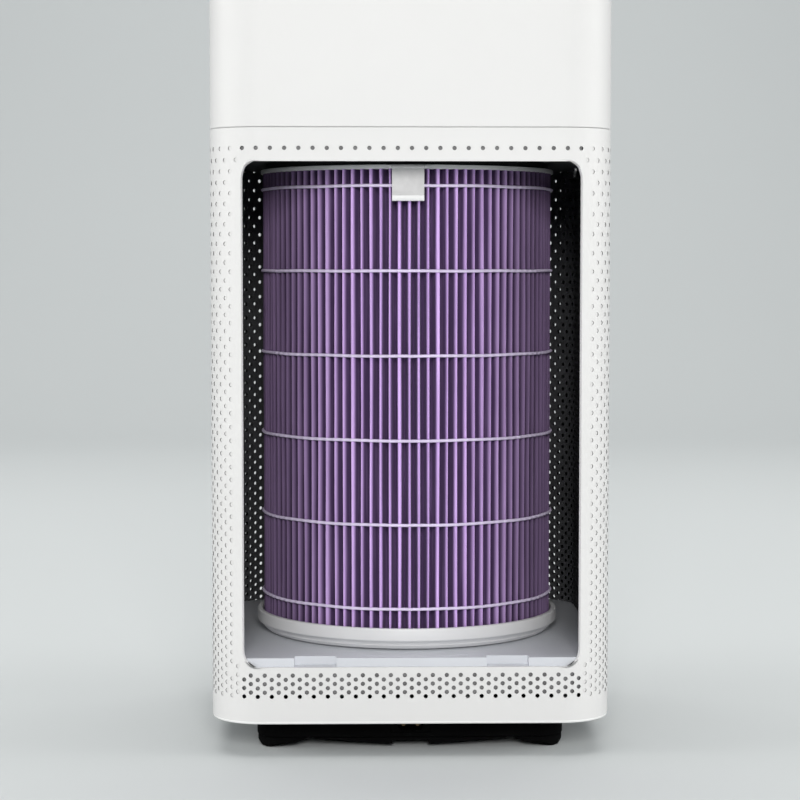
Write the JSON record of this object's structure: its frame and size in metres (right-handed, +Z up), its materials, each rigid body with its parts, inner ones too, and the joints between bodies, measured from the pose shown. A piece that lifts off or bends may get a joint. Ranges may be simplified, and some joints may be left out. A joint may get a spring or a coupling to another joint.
{
  "type": "air purifier",
  "caption": "Tower air purifier with a rounded square casing, top outlet grille, and a slide-out pleated cylindrical cartridge behind the open rear doorway.",
  "frame": {"origin": "centre of the footprint, on the floor under the rubber pads", "axes": "+Z up, along the tower; the doorway for the cartridge faces -Y and the display faces +Y"},
  "size_m": [0.24, 0.24, 0.52],
  "materials": {
    "white_casing": "satin moulded plastic",
    "white_trim": "satin moulded plastic",
    "tray_grey": "satin moulded plastic, cool grey",
    "inner_dark": "matte dark moulded plastic",
    "base_black": "fine-textured black plastic",
    "rubber": "matte rubber",
    "grille_grey": "satin dark plastic",
    "fan_grey": "satin light grey plastic",
    "steel": "bright steel",
    "lamination": "stacked silicon steel",
    "copper": "enamelled copper wire",
    "magnet": "sintered magnet",
    "filter_purple": "pleated fibre sheet",
    "hoop_lilac": "hot-melt thread",
    "ring_white": "satin moulded plastic",
    "tab_grey": "woven ribbon",
    "carbon": "activated carbon cloth",
    "board_green": "solder mask",
    "component_black": "moulded component",
    "glass_black": "dark gloss window",
    "cable_grey": "cable jacket",
    "brass_pin": "plated brass"
  },
  "bodies": {
    "housing": {"lower_casing": "white_casing", "upper_casing": "white_casing", "top_deck": "white_casing", "outlet_grille": "grille_grey", "base_plate": "base_black", "corner_feet": "base_black", "rubber_pads": "rubber", "cord_guide": "base_black", "power_inlet": "base_black", "inlet_pins": "brass_pin", "filter_tray": "tray_grey", "cable_channel": "inner_dark", "fan_deck": "inner_dark", "deck_seal": "rubber", "inlet_ring": "fan_grey", "fan_duct": "inner_dark", "motor_mount": "fan_grey", "guide_vanes": "fan_grey", "motor_bearings": "steel", "motor_stator": "lamination", "stator_coils": "copper", "motor_cover": "fan_grey", "power_switch": "board_green", "dimmer_switch": "board_green", "display_window": "glass_black", "display_panel": "glass_black", "display_board": "board_green", "sensor_vent": "white_trim", "climate_sensor": "board_green", "particle_sensor": "component_black", "door_switch": "component_black", "main_board": "board_green", "main_board_parts": "component_black", "power_board": "board_green", "power_board_parts": "component_black", "wiring": "cable_grey", "base_screws": "steel", "deck_screws": "steel", "duct_screws": "steel", "board_screws": "steel"},
    "rotor": {"fan_wheel": "fan_grey", "fan_blades": "fan_grey", "fan_shroud": "fan_grey", "rotor_cup": "steel", "rotor_magnets": "magnet", "motor_shaft": "steel"},
    "cartridge": {"filter_base_ring": "ring_white", "filter_top_ring": "ring_white", "tab_pin": "steel", "filter_media": "filter_purple", "filter_hoops": "hoop_lilac", "filter_core": "inner_dark", "carbon_sleeve": "carbon"},
    "pull_tab": {"pull_tab": "tab_grey"},
    "power_button": {"power_button": "white_trim"},
    "dimmer_button": {"dimmer_button": "white_trim"},
    "sensor_cover": {"sensor_cover": "white_trim"},
    "sensor_fan": {"sensor_fan": "component_black"},
    "door_plunger": {"door_plunger": "white_trim"}
  },
  "joints": [
    {"name": "fan_spin", "type": "hinge", "parent": "housing", "child": "rotor", "pos_m": [0, 0, 0.42], "axis": [0, 0, 1], "continuous": true},
    {"name": "cartridge_slide", "type": "slide", "parent": "housing", "child": "cartridge", "axis": [0, -1, 0], "range_m": [0, 0.26]},
    {"name": "tab_hinge", "type": "hinge", "parent": "cartridge", "child": "pull_tab", "pos_m": [-0.0016, -0.0949, 0.3517], "axis": [-1, 0, 0], "range_deg": [0, 85]},
    {"name": "power_press", "type": "slide", "parent": "housing", "child": "power_button", "axis": [0, 0, -1], "range_m": [0, 0.001], "stiffness_N_per_m": 500, "springref_m": -0.0005},
    {"name": "dimmer_press", "type": "slide", "parent": "housing", "child": "dimmer_button", "axis": [0, 1, 0], "range_m": [0, 0.0008], "stiffness_N_per_m": 500, "springref_m": -0.0005},
    {"name": "door_plunger_press", "type": "slide", "parent": "housing", "child": "door_plunger", "axis": [0, 0, 1], "range_m": [0, 0.002], "stiffness_N_per_m": 200, "springref_m": -0.001},
    {"name": "cover_pull", "type": "slide", "parent": "housing", "child": "sensor_cover", "axis": [-1, 0, 0], "range_m": [0, 0.03]},
    {"name": "sensor_fan_spin", "type": "hinge", "parent": "housing", "child": "sensor_fan", "pos_m": [-0.097, -0.068, 0.427], "axis": [1, 0, 0], "continuous": true}
  ]
}
